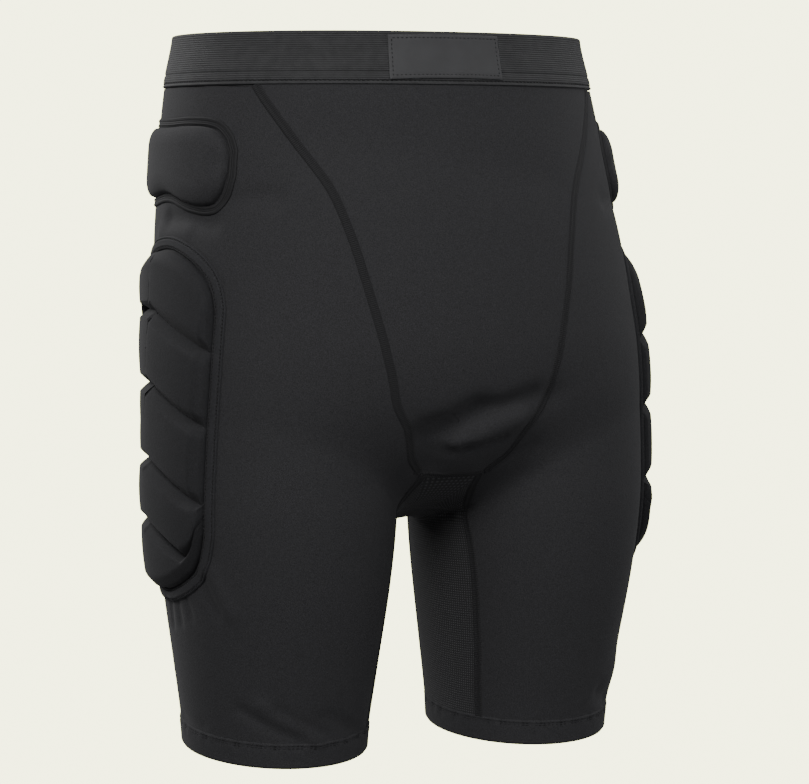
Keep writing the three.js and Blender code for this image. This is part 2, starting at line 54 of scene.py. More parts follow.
lens = bpy.data.cameras.new("camera")
lens.sensor_width = SENSOR
lens.lens = SENSOR * LENS_PIXELS / IMAGE_WIDTH
lens.shift_x = IMAGE_SHIFT[0] / IMAGE_WIDTH
lens.shift_y = IMAGE_SHIFT[1] / IMAGE_WIDTH
lens.clip_end = 60
camera = bpy.data.objects.new("camera", lens)
bpy.context.scene.collection.objects.link(camera)
level = CAMERA_DISTANCE * math.cos(CAMERA_ELEVATION)
camera.location = LOOK_AT + Vector(
    (
        level * math.sin(CAMERA_AZIMUTH),
        -level * math.cos(CAMERA_AZIMUTH),
        CAMERA_DISTANCE * math.sin(CAMERA_ELEVATION),
    )
)
camera.rotation_euler = (LOOK_AT - camera.location).to_track_quat("-Z", "Y").to_euler()
bpy.context.scene.camera = camera


def light_panel(name, place, size, power, colour):
    light = bpy.data.lights.new(name, "AREA")
    light.shape = "RECTANGLE"
    light.size, light.size_y = size
    light.energy = power
    light.color = colour
    panel = bpy.data.objects.new(name, light)
    panel.location = place
    panel.rotation_euler = (LOOK_AT - panel.location).to_track_quat("-Z", "Y").to_euler()
    bpy.context.scene.collection.objects.link(panel)


light_panel("key_light", Vector((-2.3, -2.4, 2.2)), (1.4, 1.4), 155, (1, 0.99, 0.98))
light_panel("front_light", Vector((0.9, -3.2, 1.4)), (1.6, 1.4), 46, (1, 1, 1))
light_panel("side_light", Vector((3.0, 0.6, 1.4)), (1.2, 1.8), 24, (0.98, 0.99, 1))
light_panel("back_light", Vector((-1.6, 3.0, 1.4)), (1.8, 1.8), 80, (1, 1, 1))

world = bpy.data.worlds.new("studio")
bpy.context.scene.world = world
world.use_nodes = True
sky = world.node_tree.nodes["Background"]
sky.inputs["Color"].default_value = (0.98, 0.98, 1, 1)
sky.inputs["Strength"].default_value = 0.34

# Pale paper below and all round. It shows itself only: the panels and the sky light the
# cloth, and the paper neither shades it nor shines on it.
FLOOR_HEIGHT = -0.62
FLOOR_WIDTH = 40
BACKDROP_RADIUS = 19

backdrop_paint = bpy.data.materials.new("backdrop_paper")
backdrop_paint.use_nodes = True
paper = backdrop_paint.node_tree.nodes["Principled BSDF"]
paper.inputs["Base Color"].default_value = (0, 0, 0, 1)
paper.inputs["Roughness"].default_value = 1
paper.inputs["Specular IOR Level"].default_value = 0
paper.inputs["Emission Color"].default_value = (0.93, 0.94, 0.57, 1)
paper.inputs["Emission Strength"].default_value = 5.7


def studio_paper(name):
    paper_sheet = bpy.context.object
    paper_sheet.name = name
    paper_sheet.data.materials.append(backdrop_paint)
    paper_sheet.visible_diffuse = False
    paper_sheet.visible_glossy = False
    paper_sheet.visible_shadow = False


bpy.ops.object.select_all(action="DESELECT")
bpy.ops.mesh.primitive_plane_add(size=FLOOR_WIDTH, location=(0, 0, FLOOR_HEIGHT))
studio_paper("floor")
bpy.ops.mesh.primitive_uv_sphere_add(segments=32, ring_count=16, radius=BACKDROP_RADIUS)
studio_paper("backdrop")

# Front panel: one piece of black stretch jersey from the waistband down to the crotch,
# narrowing between the two curved front seams. Sewn edge to edge with its neighbours.

# The form that it is stretched over, in millimetres, as the solids have it: an oval
# trunk and two thighs that flow together. Every later piece is laid on its face too.
RISE = 325
INSEAM = 151
OUTSEAM = RISE + INSEAM
WAIST_HALF = (143, 110)
HIP_HALF = (173, 131)
THIGH_HALF = (79, 90)
HEM_HALF = (62, 63.5)
HIP_ADVANCE = 26
THIGH_ADVANCE = 37
HEM_ADVANCE = 30
THIGH_SPREAD = 94.5
HEM_SPREAD = 92.5
HEM_TILT = 0.1
TRUNK_SQUARENESS = 2.12
GROIN_BLEND = 26
MM = 0.001
# Where the trunk and the thighs come forward, where the hem's tilt grows and where the
# trunk ends, as shares of the rise, the outseam, the outseam and the rise.
HIP_ADVANCE_SPAN = (0, 0.65)
THIGH_ADVANCE_SPAN = (0.02, 0.5)
HEM_TILT_SPAN = (0.55, 1)
TRUNK_END = 0.98

# drop is a share of the rise; fill runs from the waist's size to the hip's; the rest is
# what is left of that size as the trunk closes at the crotch.
TRUNK_ROWS = [
    dict(drop=-0.15, fill=-0.08, wide=1, front=1, back=1),
    dict(drop=0.0, fill=0.0, wide=1, front=1, back=1),
    dict(drop=0.11, fill=0.26, wide=1, front=1, back=1),
    dict(drop=0.22, fill=0.45, wide=1, front=1, back=1),
    dict(drop=0.32, fill=0.58, wide=1, front=1, back=1.02),
    dict(drop=0.43, fill=0.68, wide=1, front=1, back=1.06),
    dict(drop=0.55, fill=0.75, wide=0.98, front=1, back=1.1),
    dict(drop=0.68, fill=0.86, wide=0.935, front=0.98, back=1.06),
    dict(drop=0.78, fill=0.96, wide=0.84, front=0.9, back=0.94),
    dict(drop=0.87, fill=1, wide=0.58, front=0.74, back=0.7),
    dict(drop=0.94, fill=1, wide=0.32, front=0.48, back=0.42),
    dict(drop=1.0, fill=1, wide=0.1, front=0.14, back=0.14),
    dict(drop=1.06, fill=1, wide=0.02, front=0.02, back=0.02),
    dict(drop=1.7, fill=1, wide=0.01, front=0.01, back=0.01),
]
# drop is a share of the outseam; fill runs from the hem's size to the thigh's.
THIGH_ROWS = [
    dict(drop=-0.15, fill=1, girth=0.5, out=0.5),
    dict(drop=0.1, fill=1, girth=0.66, out=0.62),
    dict(drop=0.25, fill=1, girth=0.82, out=0.8),
    dict(drop=0.38, fill=1, girth=0.92, out=0.93),
    dict(drop=0.5, fill=1, girth=0.98, out=0.99),
    dict(drop=0.6, fill=1, girth=1, out=1),
    dict(drop=0.67, fill=0.98, girth=1, out=1),
    dict(drop=0.76, fill=0.78, girth=1, out=1),
    dict(drop=0.88, fill=0.36, girth=1, out=1),
    dict(drop=0.96, fill=0.08, girth=1, out=1),
    dict(drop=1.0, fill=0.0, girth=1, out=1),
    dict(drop=1.1, fill=-0.1, girth=1, out=1),
]
# Folds of the worn cloth: ridges (rise above 0) and creases between two places, z as a
# share of the outseam and the rest in millimetres. The first rows are the solids' own,
# the finer ones are only here. A fold reaches 3 times its width.
FOLD_REACH = 3
FOLD_ROWS = [
    dict(start=(-6, -118, 0.553), end=(62, -136, 0.497), wide=10, rise=-2.4),
    dict(start=(24, -116, 0.59), end=(52, -126, 0.572), wide=9, rise=-1.8),
    dict(start=(-86, -96, 0.94), end=(-52, -84, 0.976), wide=6, rise=-1.5),
    dict(start=(-146, -80, 0.765), end=(-140, -84, 0.825), wide=6, rise=-1.6),
    dict(start=(-120, -96, 0.225), end=(-146, -62, 0.235), wide=8, rise=-1.6),
    dict(start=(120, -92, 0.235), end=(146, -58, 0.24), wide=8, rise=-1.6),
    dict(start=(-22, -122, 0.6), end=(-28, -138, 0.552), wide=10, rise=-8.5),
    dict(start=(-28, -138, 0.552), end=(2, -144, 0.52), wide=10, rise=-8.0),
    dict(start=(2, -144, 0.52), end=(44, -144, 0.499), wide=7, rise=-5.0),
    dict(start=(-8, -134, 0.564), end=(34, -140, 0.531), wide=7, rise=5.0),
    dict(start=(-24, -130, 0.58), end=(0, -133, 0.571), wide=5, rise=-3.6),
    dict(start=(0, -133, 0.571), end=(26, -135, 0.558), wide=3.6, rise=-2.6),
    dict(start=(0, -55, 0.672), end=(21, -66, 0.68), wide=3.5, rise=-1.8),
    dict(start=(21, -66, 0.68), end=(28, -84, 0.666), wide=3, rise=-1.2),
    dict(start=(8, -62, 0.664), end=(24, -78, 0.657), wide=4, rise=1.2),
    dict(start=(-130, -90, 0.922), end=(-89, -96, 0.976), wide=5, rise=1.5),
    dict(start=(-138, -80, 0.93), end=(-104, -96, 0.972), wide=5, rise=-1.6),
    dict(start=(-118, -94, 0.93), end=(-84, -96, 0.968), wide=4.5, rise=-1.4),
    dict(start=(-167, -30, 0.785), end=(-165, -28, 0.822), wide=2.6, rise=-1.5),
    dict(start=(-168, -42, 0.785), end=(-166, -43, 0.815), wide=2.6, rise=-1.5),
    dict(start=(-166, -54, 0.78), end=(-164, -57, 0.805), wide=2.6, rise=-1.2),
    dict(start=(-164, -72, 0.745), end=(-156, -80, 0.793), wide=4.5, rise=-1.8),
    dict(start=(-161, -80, 0.735), end=(-150, -88, 0.79), wide=6, rise=1.4),
    dict(start=(167, -40, 0.785), end=(165, -44, 0.82), wide=4, rise=-1.6),
    dict(start=(136, -76, 0.955), end=(126, -88, 0.945), wide=7, rise=-2.2),
    dict(start=(150, -50, 0.93), end=(140, -72, 0.915), wide=12, rise=2.4),
    dict(start=(-156, -20, 0.955), end=(-150, -50, 0.958), wide=4, rise=-1.2),
    dict(start=(-162, -20, 0.256), end=(-152, -66, 0.262), wide=7, rise=-2.2),
    dict(start=(162, -20, 0.256), end=(152, -66, 0.262), wide=7, rise=-2.2),
    dict(start=(-163, -6, 0.277), end=(-158, -44, 0.274), wide=6, rise=1.2),
    dict(start=(-100, -100, 0.165), end=(-30, -126, 0.16), wide=22, rise=-1.8),
    dict(start=(10, -130, 0.185), end=(60, -124, 0.2), wide=20, rise=-1.4),
]


def curve_of(rows, key, along="drop"):
    """A smooth curve through one column of a table."""
    t = np.array([row[along] for row in rows], float)
    y = np.array([row[key] for row in rows], float)
    slope = np.empty_like(y)
    slope[1:-1] = (y[2:] - y[:-2]) / (t[2:] - t[:-2])
    slope[0] = 1.5 * (y[1] - y[0]) / (t[1] - t[0]) - 0.5 * slope[1]
    slope[-1] = 1.5 * (y[-1] - y[-2]) / (t[-1] - t[-2]) - 0.5 * slope[-2]

    def value(at):
        at = np.asarray(at, float)
        i = np.clip(np.searchsorted(t, at, side="right") - 1, 0, len(t) - 2)
        step = t[i + 1] - t[i]
        s = np.clip((at - t[i]) / step, 0, 1)
        s2, s3 = s * s, s * s * s
        start = (2 * s3 - 3 * s2 + 1) * y[i] + (s3 - 2 * s2 + s) * step * slope[i]
        return start + (3 * s2 - 2 * s3) * y[i + 1] + (s3 - s2) * step * slope[i + 1]

    return value


trunk = {key: curve_of(TRUNK_ROWS, key) for key in ("fill", "wide", "front", "back")}
thigh = {key: curve_of(THIGH_ROWS, key) for key in ("fill", "girth", "out")}


def mix(a, b, share):
    return a + (b - a) * share


def smooth(value, low, high):
    s = np.clip((value - low) / (high - low), 0, 1)
    return s * s * (3 - 2 * s)


def thigh_at(drop):
    """The thigh's axis and half sizes at a drop below the waist."""
    share = np.asarray(drop, float) / OUTSEAM
    fill, girth = thigh["fill"](share), thigh["girth"](share)
    upper = smooth(share, *THIGH_ADVANCE_SPAN)
    x = mix(HEM_SPREAD, THIGH_SPREAD, fill) * thigh["out"](share)
    y = -mix(HEM_ADVANCE, THIGH_ADVANCE, fill) * upper
    wide = mix(HEM_HALF[0], THIGH_HALF[0], fill) * girth
    deep = mix(HEM_HALF[1], THIGH_HALF[1], fill) * girth
    return x, y, wide, deep


def oval_distance(x, y, wide, deep, power):
    reach = (np.abs(x) / wide) ** power + (np.abs(y) / deep) ** power
    return (reach ** (1 / power) - 1) * np.minimum(wide, deep)


def trunk_distance(x, y, drop):
    share = drop / RISE
    fill = trunk["fill"](share)
    centre = -HIP_ADVANCE * smooth(share, *HIP_ADVANCE_SPAN)
    wide = mix(WAIST_HALF[0], HIP_HALF[0], fill) * np.maximum(trunk["wide"](share), 0.01)
    kept = np.where(y < centre, trunk["front"](share), trunk["back"](share))
    deep = mix(WAIST_HALF[1], HIP_HALF[1], fill) * np.maximum(kept, 0.01)
    past = np.maximum(share - TRUNK_END, 0) * RISE
    return oval_distance(x, y - centre, wide, deep, TRUNK_SQUARENESS) + past


def drop_of(y, z):
    low = smooth(-z / OUTSEAM, *HEM_TILT_SPAN)
    return -z + HEM_TILT * (y + HEM_ADVANCE) * low


def height_of(y, drop):
    z = -drop + 0 * y
    for _ in range(5):
        z = z + drop_of(y, z) - drop
    return z


fold_ends = [
    [np.array([end[0], end[1], -end[2] * OUTSEAM]) for end in (fold["start"], fold["end"])]
    for fold in FOLD_ROWS
]


def fold_rise(p):
    rise = np.zeros(p.shape[:-1])
    for fold, (start, end) in zip(FOLD_ROWS, fold_ends):
        reach = np.abs(end - start) / 2 + FOLD_REACH * fold["wide"]
        near = (np.abs(p - (start + end) / 2) < reach).all(-1)
        if not near.any():
            continue
        place = p[near]
        run = end - start
        along = np.clip(((place - start) @ run) / (run @ run), 0, 1)
        away = np.linalg.norm(place - start - along[..., None] * run, axis=-1) / fold["wide"]
        rise[near] += fold["rise"] * np.exp(-away * away) * (away < FOLD_REACH)
    return rise


def face_distance(p):
    """Distance of places from the cloth's face: below 0 inside it."""
    x, y, z = np.abs(p[..., 0]), p[..., 1], p[..., 2]
    drop = drop_of(y, z)
    axis_x, axis_y, wide, deep = thigh_at(drop)
    thighs = oval_distance(x - axis_x, y - axis_y, wide, deep, 2)
    body = trunk_distance(x, y, drop)
    near = np.maximum(GROIN_BLEND - np.abs(body - thighs), 0) / GROIN_BLEND
    return np.minimum(body, thighs) - near * near * GROIN_BLEND / 4 - fold_rise(p)


def face_slope(p):
    slope = np.empty(p.shape)
    for axis in range(3):
        step = np.zeros(3)
        step[axis] = 0.5
        slope[..., axis] = face_distance(p + step) - face_distance(p - step)
    return slope


def face_normal(p):
    slope = face_slope(p)
    return slope / np.linalg.norm(slope, axis=-1, keepdims=True)


def settle(p, steps=8):
    """Moves places straight onto the cloth's face."""
    p = np.array(p, float)
    for _ in range(steps):
        slope = face_slope(p)
        length = np.maximum((slope * slope).sum(-1), 0.1)
        p = p - slope * (face_distance(p) / length)[..., None]
    return p


FAR_OUT = 300.0
HALVINGS = 26


def from_axis(axis_x, axis_y, angle, drop):
    """Places on the face, seen from an upright axis: degrees, 90 to the front."""
    axis_x, axis_y, angle, drop = np.broadcast_arrays(axis_x, axis_y, angle, drop)
    dx, dy = np.cos(np.radians(angle)), -np.sin(np.radians(angle))
    inside = np.zeros(dx.shape)
    inward = (axis_x > 1) & (dx < 0)
    to_middle = axis_x / np.maximum(-dx, 1e-6)
    outside = np.where(inward, np.minimum(to_middle, FAR_OUT), FAR_OUT)
    for _ in range(HALVINGS):
        middle = (inside + outside) / 2
        y = axis_y + dy * middle
        p = np.stack([axis_x + dx * middle, y, height_of(y, drop)], -1)
        within = face_distance(p) < 0
        inside = np.where(within, middle, inside)
        outside = np.where(within, outside, middle)
    y = axis_y + dy * inside
    return np.stack([axis_x + dx * inside, y, height_of(y, drop)], -1)


def on_thigh(angle, drop):
    axis_x, axis_y, _, _ = thigh_at(drop)
    return from_axis(axis_x, axis_y, angle, drop)


def angle_of(p):
    axis_x, axis_y, _, _ = thigh_at(drop_of(p[..., 1], p[..., 2]))
    return np.degrees(np.arctan2(axis_y - p[..., 1], p[..., 0] - axis_x))


MIRROR = np.array([-1, 1, 1])

# The cloth's edges run a little way under the waistband, the hems and the seams.
CLOTH_WALL = 1.6
WAISTBAND_HEIGHT = 35
HEM_HEIGHT = 17.5
SEAM_WIDTH = 6
SEAM_GAP = 0.2
SEAM_TUCK = 0.5
SEAM_STEPS = 150
CLOTH_TOP = WAISTBAND_HEIGHT - 0.3
CLOTH_BOTTOM = OUTSEAM - HEM_HEIGHT + 0.4
FRONT_SEAM_END = RISE * 0.891
BACK_SEAM_END = RISE * 0.892
CROTCH_FRONT_DROP = 0.885 * RISE + 4
CROTCH_BACK_DROP = 0.93 * RISE
TRUNK_MIDDLE = -HIP_ADVANCE * 0.6
CLOTH_COLOUR = (0.0168, 0.0168, 0.0182)

# drop is a share of the rise; angle runs round the thigh's axis, 90 to the front.
FRONT_SEAM_ROWS = [
    dict(drop=0.0, angle=34),
    dict(drop=0.11, angle=47),
    dict(drop=0.2, angle=61),
    dict(drop=0.31, angle=79),
    dict(drop=0.4, angle=88),
    dict(drop=0.5, angle=95.5),
    dict(drop=0.59, angle=101.5),
    dict(drop=0.66, angle=105.5),
    dict(drop=0.74, angle=111),
    dict(drop=0.8, angle=117.5),
    dict(drop=0.85, angle=124),
    dict(drop=0.885, angle=132),
]
front_seam_angle = curve_of(FRONT_SEAM_ROWS, "angle")


def beside(line, distance, closed=False):
    """A line of places moved sideways over the face."""
    if closed:
        along = np.roll(line, -1, 0) - np.roll(line, 1, 0)
    else:
        along = np.gradient(line, axis=0)
    side = np.cross(along, face_slope(line))
    side /= np.linalg.norm(side, axis=-1, keepdims=True)
    return settle(line + side * distance, 4)


def run_along(line):
    """How far along a line each of its places is."""
    return np.concatenate([[0], np.cumsum(np.linalg.norm(np.diff(line, axis=0), axis=1))])


def spaced(line, count):
    """The same line with evenly spaced places."""
    run = run_along(line)
    even = np.linspace(0, run[-1], count)
    return np.stack([np.interp(even, run, line[:, axis]) for axis in range(3)], 1)


def lengths(grid, axis, closed):
    """Run along a grid in one direction, for the cloth's own measure."""
    step = np.linalg.norm(np.diff(grid, axis=axis), axis=-1)
    step = step.mean(1 - axis)
    run = np.concatenate([[0], np.cumsum(step)])
    if closed and axis == 1:
        gap = np.linalg.norm(grid[:, 0] - grid[:, -1], axis=-1).mean()
        run = np.append(run, run[-1] + gap)
    return run * MM


SHARP_ANGLE = math.radians(50)


def laid_piece(name, grid, inner, outer, closed=False):
    """A closed sheet between two heights over the face; its UV map is in metres."""
    rows, columns = grid.shape[:2]
    normal = face_normal(grid)
    heights = [np.broadcast_to(np.asarray(h, float), (rows, columns)) for h in (outer, inner)]
    points = [(grid + normal * h[..., None]).reshape(-1, 3) for h in heights]
    vertices = np.concatenate(points) * MM
    last = columns if closed else columns - 1
    r, c = np.meshgrid(np.arange(rows - 1), np.arange(last), indexing="ij")
    r, c = r.ravel(), c.ravel()
    after = (c + 1) % columns
    a, b = r * columns + c, r * columns + after
    d, e = a + columns, b + columns
    back = rows * columns
    faces = [np.stack([a, d, e, b], 1), np.stack([a, b, e, d], 1) + back]
    u = lengths(grid, 1, closed)
    v = lengths(grid, 0, closed)
    uv_a = np.stack([u[c], v[r]], 1)
    uv_b = np.stack([u[c + 1], v[r]], 1)
    uv_d = np.stack([u[c], v[r + 1]], 1)
    uv_e = np.stack([u[c + 1], v[r + 1]], 1)
    maps = [np.stack([uv_a, uv_d, uv_e, uv_b], 1), np.stack([uv_a, uv_b, uv_e, uv_d], 1)]
    top, bottom = r == 0, r == rows - 2
    faces.append(np.stack([a[top], b[top], b[top] + back, a[top] + back], 1))
    maps.append(np.stack([uv_a[top], uv_b[top], uv_b[top], uv_a[top]], 1))
    faces.append(np.stack([e[bottom], d[bottom], d[bottom] + back, e[bottom] + back], 1))
    maps.append(np.stack([uv_e[bottom], uv_d[bottom], uv_d[bottom], uv_e[bottom]], 1))
    if not closed:
        left, right = c == 0, c == last - 1
        faces.append(np.stack([d[left], a[left], a[left] + back, d[left] + back], 1))
        maps.append(np.stack([uv_d[left], uv_a[left], uv_a[left], uv_d[left]], 1))
        faces.append(np.stack([b[right], e[right], e[right] + back, b[right] + back], 1))
        maps.append(np.stack([uv_b[right], uv_e[right], uv_e[right], uv_b[right]], 1))
    faces, maps = np.concatenate(faces), np.concatenate(maps)
    corner = vertices[faces]
    volume = np.einsum("ij,ij->i", corner[:, 0], np.cross(corner[:, 1], corner[:, 2])).sum()
    volume += np.einsum("ij,ij->i", corner[:, 0], np.cross(corner[:, 2], corner[:, 3])).sum()
    if volume < 0:
        faces, maps = faces[:, ::-1], maps[:, ::-1]
    mesh = bpy.data.meshes.new(name)
    mesh.from_pydata(vertices.tolist(), [], faces.tolist())
    layer = mesh.uv_layers.new(name="UVMap")
    layer.data.foreach_set("uv", maps.reshape(-1).astype(np.float32))
    mesh.polygons.foreach_set("use_smooth", np.ones(len(faces), bool))
    mesh.set_sharp_from_angle(angle=SHARP_ANGLE)
    piece = bpy.data.objects.new(name, mesh)
    bpy.context.scene.collection.objects.link(piece)
    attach(piece, "root")
    return piece


def new_paint(name, colour, roughness, sheen):
    paint = bpy.data.materials.new(name)
    paint.use_nodes = True
    shader = paint.node_tree.nodes["Principled BSDF"]
    shader.inputs["Base Color"].default_value = (*colour, 1)
    shader.inputs["Roughness"].default_value = roughness
    shader.inputs["Specular IOR Level"].default_value = 0.2
    shader.inputs["Sheen Weight"].default_value = sheen
    shader.inputs["Sheen Roughness"].default_value = 0.5
    return paint


def node_of(paint, kind, **settings):
    node = paint.node_tree.nodes.new(kind)
    for key, value in settings.items():
        setattr(node, key, value)
    return node


def wave(paint, direction, pitch, source="UV"):
    """Rounded ridges of one pitch in metres, along U or V of the cloth's measure."""
    tree = paint.node_tree
    coordinates = node_of(paint, "ShaderNodeTexCoord")
    split = node_of(paint, "ShaderNodeSeparateXYZ")
    turn = node_of(paint, "ShaderNodeMath", operation="MULTIPLY")
    turn.inputs[1].default_value = 2 * math.pi / pitch
    sine = node_of(paint, "ShaderNodeMath", operation="SINE")
    tree.links.new(coordinates.outputs[source], split.inputs[0])
    tree.links.new(split.outputs[direction], turn.inputs[0])
    tree.links.new(turn.outputs[0], sine.inputs[0])
    return sine.outputs[0]


def combine(paint, operation, a, b):
    node = node_of(paint, "ShaderNodeMath", operation=operation)
    for socket, value in zip(node.inputs, (a, b)):
        if isinstance(value, (int, float)):
            socket.default_value = value
        else:
            paint.node_tree.links.new(value, socket)
    return node.outputs[0]


def mottle(paint, scale, detail=3.0):
    coordinates = node_of(paint, "ShaderNodeTexCoord")
    noise = node_of(paint, "ShaderNodeTexNoise")
    noise.inputs["Scale"].default_value = scale
    noise.inputs["Detail"].default_value = detail
    paint.node_tree.links.new(coordinates.outputs["Object"], noise.inputs["Vector"])
    return noise.outputs["Fac"]


def shade(paint, height, distance, tint, low, high):
    """Height drives the bump; tint, from 0 to 1, drives the colour between two."""
    tree = paint.node_tree
    shader = tree.nodes["Principled BSDF"]
    bump = node_of(paint, "ShaderNodeBump")
    bump.inputs["Strength"].default_value = 0.8
    bump.inputs["Distance"].default_value = distance
    tree.links.new(height, bump.inputs["Height"])
    tree.links.new(bump.outputs["Normal"], shader.inputs["Normal"])
    ramp = node_of(paint, "ShaderNodeValToRGB")
    ramp.color_ramp.elements[0].color = (*low, 1)
    ramp.color_ramp.elements[1].color = (*high, 1)
    ramp.color_ramp.elements[0].position = 0.25
    ramp.color_ramp.elements[1].position = 0.75
    tree.links.new(tint, ramp.inputs["Fac"])
    tree.links.new(ramp.outputs["Color"], shader.inputs["Base Color"])


def times(colour, factor):
    return tuple(part * factor for part in colour)


JERSEY_PITCH = 0.0009
KNIT_RELIEF = 0.00016
YARN_SCALE = 900
DYE_AND_SHEEN_SCALE = 1700


def knit_paint(name, colour, pitch):
    """Fine jersey: rows of small stitches, a soft mottle of dye and painted sheen."""
    paint = new_paint(name, colour, 0.85, 0.03)
    knit = combine(paint, "MULTIPLY", wave(paint, "X", pitch), wave(paint, "Y", pitch * 0.75))
    yarn = mottle(paint, YARN_SCALE, 2)
    height = combine(paint, "ADD", combine(paint, "MULTIPLY", knit, 0.2), yarn)
    # The mottle's bright specks are painted sheen, standing in for the shine of the fibres.
    mottle_and_painted_light = mottle(paint, DYE_AND_SHEEN_SCALE, 2)
    shade(paint, height, KNIT_RELIEF, mottle_and_painted_light, times(colour, 0.5), times(colour, 1.6))
    return paint


cloth_paint = knit_paint("black_jersey", CLOTH_COLOUR, JERSEY_PITCH)


def dress(piece, paint, slot, *nodes):
    piece.data.materials.append(paint)
    if nodes:
        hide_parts(*nodes)


def front_line(drop):
    return on_thigh(front_seam_angle(drop / RISE), drop)


front_seam_line = front_line(np.linspace(CLOTH_TOP, FRONT_SEAM_END, SEAM_STEPS))
clear_seam = SEAM_WIDTH / 2 + SEAM_GAP - SEAM_TUCK
panel_edge = beside(front_seam_line, clear_seam)
edge_drop = drop_of(panel_edge[:, 1], panel_edge[:, 2])
centre = from_axis(0, TRUNK_MIDDLE, 90, edge_drop)
shares = np.linspace(0, 1, 46)
half_angles = mix(angle_of(centre)[:, None], angle_of(panel_edge)[:, None], shares)
panel_half = on_thigh(half_angles, edge_drop[:, None])
# One more row on top, straight along the waistband's edge, and four rows at the tip.
panel_top = on_thigh(half_angles[0], np.full(len(shares), CLOTH_TOP))
panel_half = np.concatenate([panel_top[None], panel_half])
panel_half[:, 0, 0] = 0
panel_tip = panel_half[-1] * np.array([0.9, 0, 0])
panel_tip += np.array([0, -113, -CROTCH_FRONT_DROP + SEAM_WIDTH / 2 + 0.6])
tip_rows = [mix(panel_half[-1], panel_tip, share) for share in (0.25, 0.5, 0.75, 1.0)]
panel_half = np.concatenate([panel_half, settle(np.stack(tip_rows))])
front_grid = np.concatenate([settle(panel_half[:, :0:-1] * MIRROR, 4), panel_half], axis=1)
front_panel = laid_piece("front_panel_cloth", front_grid, -CLOTH_WALL, 0)
dress(front_panel, cloth_paint, "front_cloth", "front_panel")

# Leg panels: the same jersey, each one from its front seam round the hip and thigh to
# the back seam, and down to the hem, with the mesh gusset let in at the inner thigh.
GUSSET_ROWS = [
    dict(drop=0.6, front=137, back=221),
    dict(drop=0.63, front=145, back=214),
    dict(drop=0.655, front=147, back=210),
    dict(drop=0.69, front=145.5, back=209),
    dict(drop=0.76, front=142.5, back=210),
    dict(drop=0.86, front=141.5, back=211),
    dict(drop=0.94, front=142, back=211),
    dict(drop=1.0, front=141, back=211),
]
gusset_front_angle = curve_of(GUSSET_ROWS, "front")
gusset_back_angle = curve_of(GUSSET_ROWS, "back")


def gusset_line(angle, drop):
    return on_thigh(angle(drop / OUTSEAM), drop)


def rough(x, y, z):
    return settle(np.array([[x, y, z]], float))


gusset_drops = np.linspace(RISE * 1.04, CLOTH_BOTTOM, 60)
gusset_front = np.concatenate(
    [
        rough(21, -112, -CROTCH_FRONT_DROP),
        rough(23, -97, -RISE * 0.937),
        gusset_line(gusset_front_angle, np.array([RISE * 0.98])),
        gusset_line(gusset_front_angle, gusset_drops),
    ]
)
gusset_back = np.concatenate(
    [
        rough(5, 32, -CROTCH_BACK_DROP - 4),
        rough(14, 24, -RISE * 0.965),
        on_thigh(208, np.array([RISE * 0.995])),
        gusset_line(gusset_back_angle, gusset_drops),
    ]
)
back_drops = np.linspace(CLOTH_TOP, BACK_SEAM_END, SEAM_STEPS)
back_seam_line = from_axis(0, TRUNK_MIDDLE, -90, back_drops)


def rounded(line, count):
    """A smooth line of even steps through a line's places."""
    run = run_along(line)
    rows = [dict(run=at, x=p[0], y=p[1], z=p[2]) for at, p in zip(run, line)]
    even = np.linspace(0, run[-1], count)
    parts = [curve_of(rows, key, "run")(even) for key in ("x", "y", "z")]
    return settle(np.stack(parts, 1), 4)


GUSSET_STEPS = 90
gusset_front = rounded(gusset_front, GUSSET_STEPS)
gusset_back = rounded(gusset_back, GUSSET_STEPS)


def leg_grid(columns):
    """Rows from the front edge to the back edge, on the wearer's left."""
    front = np.concatenate([front_seam_line[:-1], gusset_front])
    back = np.concatenate([back_seam_line[:-1], gusset_back])
    front, back = beside(front, -clear_seam), beside(back, clear_seam)
    share = np.linspace(0, 1, columns)
    angle = mix(angle_of(front)[:, None], angle_of(back)[:, None], share)
    front_drop = drop_of(front[:, 1], front[:, 2])
    back_drop = drop_of(back[:, 1], back[:, 2])
    grid = on_thigh(angle, mix(front_drop[:, None], back_drop[:, None], share))
    grid[:, 0], grid[:, -1] = front, back
    return grid


def each_side(*lines):
    """Lines as laid on the wearer's left, then their mirror images on the right."""
    return ("left", lines), ("right", [settle(line * MIRROR, 4) for line in lines])


LEG_COLUMNS = 150
for side, (grid,) in each_side(leg_grid(LEG_COLUMNS)):
    leg = laid_piece(f"{side}_leg_cloth", grid, -CLOTH_WALL, 0)
    dress(leg, cloth_paint, "leg_cloth", f"{side}_leg_panel")

# Crotch gusset: open sports mesh, one piece from hem to hem over the inner thighs, with
# a grid of fine holes that shows as pale dots.
MESH_WALL = 1.2
# Its colours are lifted as painted light: the lamps barely reach the inner thighs.
MESH_COLOUR_WITH_PAINTED_LIGHT = (0.014, 0.0141, 0.0148)
MESH_PITCH = (0.0021, 0.0016)
MESH_RELIEF = 0.0003
SADDLE_SHARE = 0.22
SADDLE_SAG = 25


def over_crotch(line, middle):
    """A gusset edge from the left hem over the crotch to the right one."""
    return np.concatenate([line[::-1], middle, line * MIRROR])


